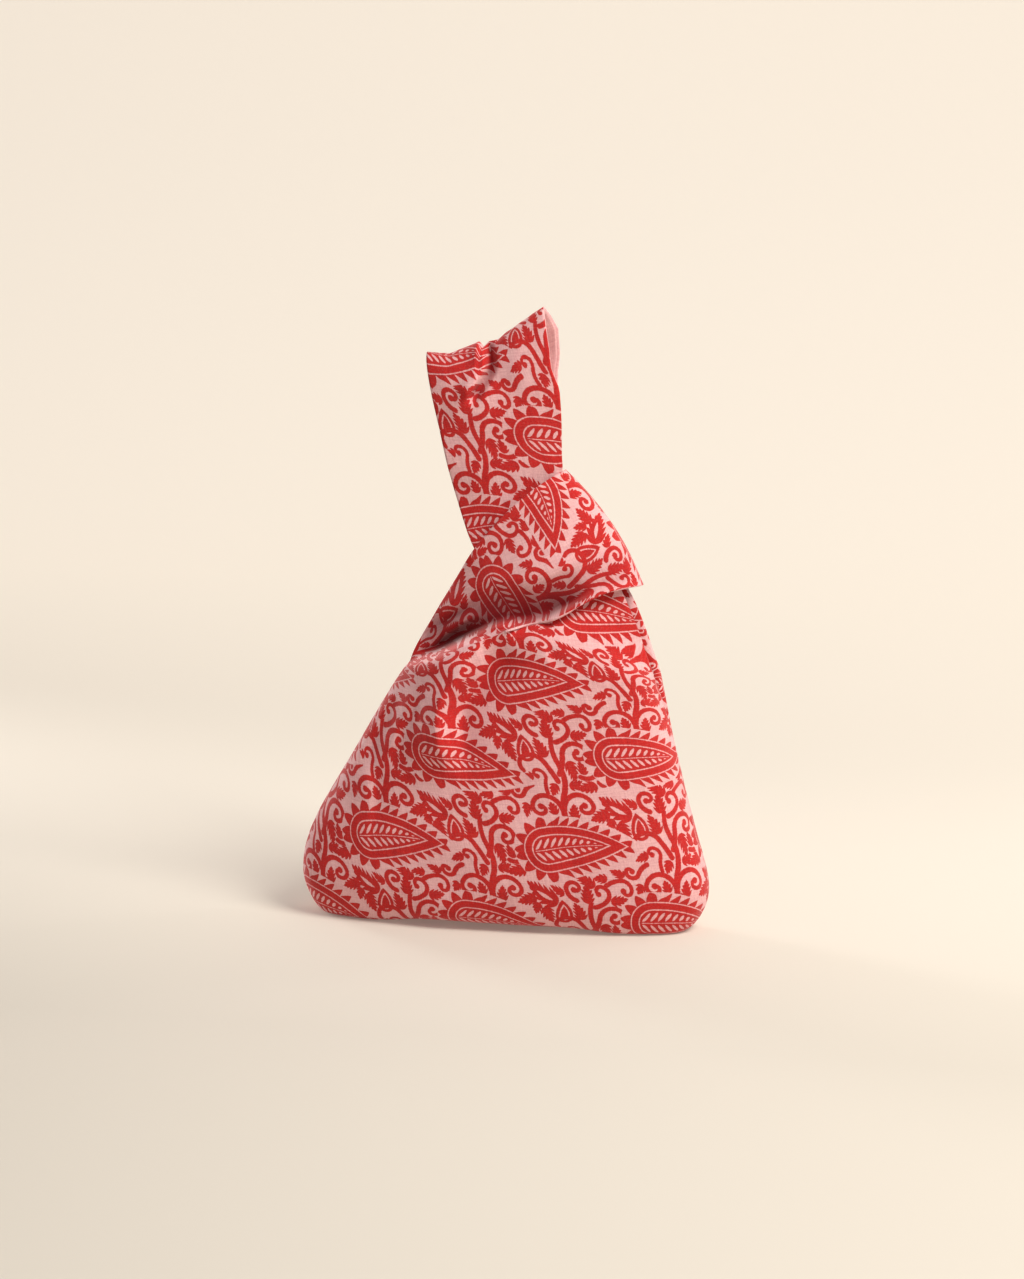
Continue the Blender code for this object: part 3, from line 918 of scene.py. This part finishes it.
def paper_mesh():
    """A strip of paper: flat under the bag, then up behind it round a quarter circle."""
    turns = [math.radians(90 * k / BEND_STEPS) for k in range(BEND_STEPS + 1)]
    bend = [(BEND_START + BEND_RADIUS * math.sin(t), BEND_RADIUS * (1 - math.cos(t))) for t in turns]
    profile = [(PAPER_FRONT, 0.0), *bend, (BEND_START + BEND_RADIUS, PAPER_TOP)]
    sheet = bmesh.new()
    rows = [[sheet.verts.new((x, y, z)) for x in (-PAPER_HALF_WIDTH, PAPER_HALF_WIDTH)] for y, z in profile]
    for a, b in zip(rows, rows[1:]):
        sheet.faces.new((a[0], a[1], b[1], b[0])).smooth = True
    mesh = bpy.data.meshes.new("table")
    sheet.to_mesh(mesh)
    sheet.free()
    return mesh


def cream_paper():
    """Matt paper that glows a little, more so further from the lights."""
    made = bpy.data.materials.new("cream_paper")
    made.use_nodes = True
    tree = Field.tree = made.node_tree
    shader = tree.nodes["Principled BSDF"]
    shader.inputs["Base Color"].default_value = (*PAPER, 1.0)
    shader.inputs["Roughness"].default_value = 0.95
    shader.inputs["Emission Color"].default_value = (*PAPER_GLOW, 1.0)
    spot = tree.nodes.new("ShaderNodeNewGeometry")
    split = tree.nodes.new("ShaderNodeSeparateXYZ")
    tree.links.new(spot.outputs["Position"], split.inputs[0])
    y = least(Field(split.outputs[1]), GLOW_REACH)
    glow = most(y * 0.43 - y * y * 0.115 + 0.16, LEAST_GLOW)
    tree.links.new(glow.socket, shader.inputs["Emission Strength"])
    return made


def softbox(name, place, width, height, power, colour, spread):
    """A soft rectangular light turned to the middle of the bag; its spread is in degrees."""
    data = bpy.data.lights.new(name, "AREA")
    data.shape = "RECTANGLE"
    data.size = width
    data.size_y = height
    data.energy = power
    data.color = colour
    data.spread = math.radians(spread)
    light = bpy.data.objects.new(name, data)
    light.location = place
    light.rotation_euler = (Vector(BAG_MIDDLE) - Vector(place)).to_track_quat("-Z", "Y").to_euler()
    bpy.context.scene.collection.objects.link(light)


table = bpy.data.objects.new("table", paper_mesh())
bpy.context.scene.collection.objects.link(table)
table.data.materials.append(cream_paper())

softbox("key", (1.00, -0.64, 1.42), 0.75, 0.75, 34.0, (1.0, 0.955, 0.90), 180)
softbox("back_left", (-0.95, 0.60, 0.24), 0.25, 0.4, 0.8, (1.0, 0.97, 0.97), 50)
softbox("back_right", (0.95, 0.60, 0.24), 0.25, 0.4, 0.3, (1.0, 0.97, 0.95), 50)

world = bpy.data.worlds.new("room")
world.use_nodes = True
daylight = world.node_tree.nodes["Background"]
daylight.inputs["Color"].default_value = (0.88, 0.91, 1.0, 1.0)
daylight.inputs["Strength"].default_value = 0.31
bpy.context.scene.world = world
bpy.context.scene.view_settings.view_transform = "Standard"

CAMERA_AROUND, CAMERA_ABOVE = math.radians(12.0), math.radians(10.0)  # to the right of the front, and up
CAMERA_AWAY, LOOK_AT = 1.70, Vector((0.0046, 0.0, 0.1625))
level = math.cos(CAMERA_ABOVE)
back = Vector((math.sin(CAMERA_AROUND) * level, -math.cos(CAMERA_AROUND) * level, math.sin(CAMERA_ABOVE)))
camera_data = bpy.data.cameras.new("camera")
camera_data.lens = 85.0
camera_data.sensor_width = 36.0
camera = bpy.data.objects.new("camera", camera_data)
camera.location = LOOK_AT + back * CAMERA_AWAY
camera.rotation_euler = (-back).to_track_quat("-Z", "Y").to_euler()
bpy.context.scene.collection.objects.link(camera)
bpy.context.scene.camera = camera
